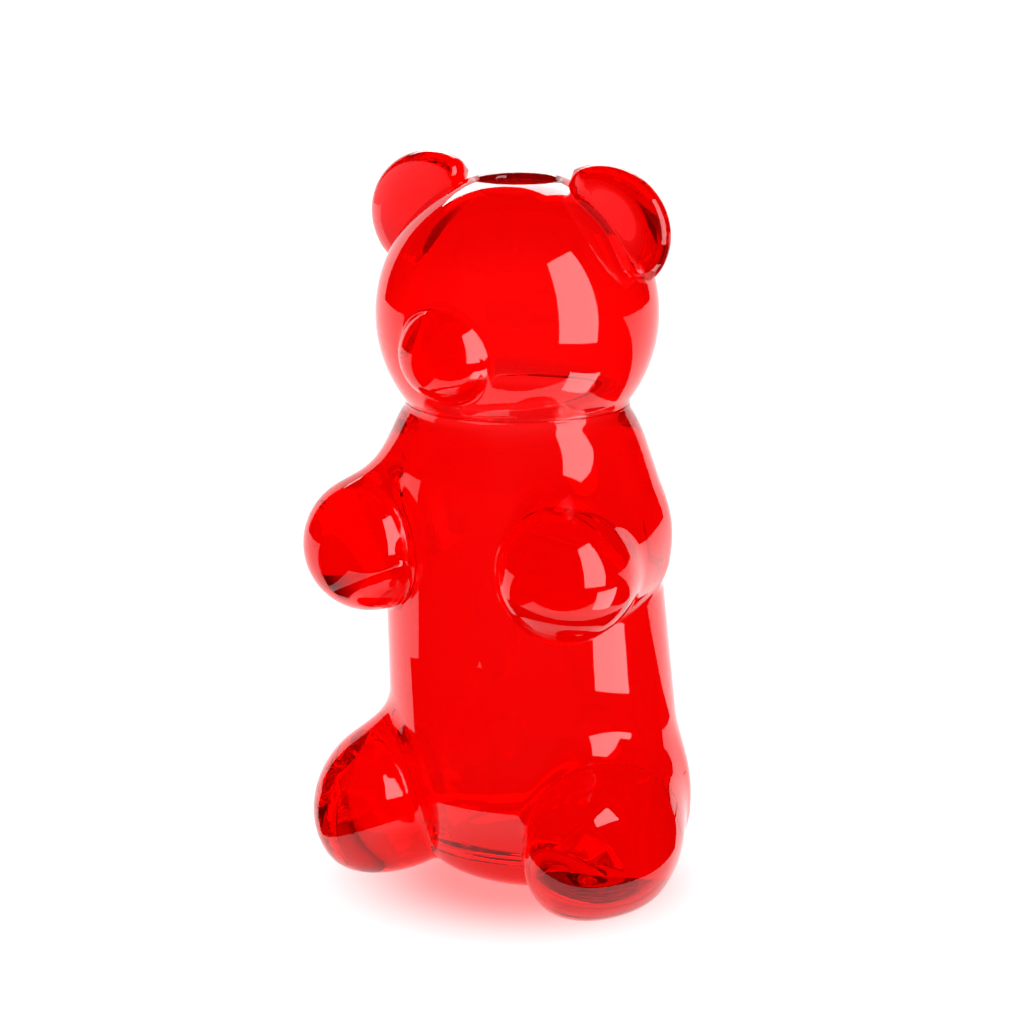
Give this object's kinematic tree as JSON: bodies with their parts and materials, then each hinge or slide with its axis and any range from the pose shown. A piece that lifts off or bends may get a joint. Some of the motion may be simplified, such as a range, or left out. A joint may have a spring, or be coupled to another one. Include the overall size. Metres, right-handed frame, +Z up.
{
  "type": "bear-shaped glass vase",
  "caption": "hollow standing bear figure in clear red glass, with a round mouth in the crown of the head and a flat base",
  "frame": {"origin": "on the surface the bear stands on, under the middle of its outline", "axes": "+Z up through the mouth, +X to the bear's left, -Y the way the bear faces"},
  "size_m": [0.121, 0.106, 0.2288],
  "materials": {
    "body_glass": "glossy clear ruby red, coloured through its thickness",
    "head_glass": "glossy clear ruby red, coloured through its thickness",
    "ear_glass": "glossy clear ruby red, paler where the glass is thin"
  },
  "bodies": {
    "root": {"base_disc": "body_glass", "torso_shell": "body_glass", "arm_left": "body_glass", "arm_right": "body_glass", "leg_left": "body_glass", "leg_right": "body_glass", "head_shell": "head_glass", "muzzle": "head_glass", "ear_left": "ear_glass", "ear_right": "ear_glass"}
  },
  "joints": []
}
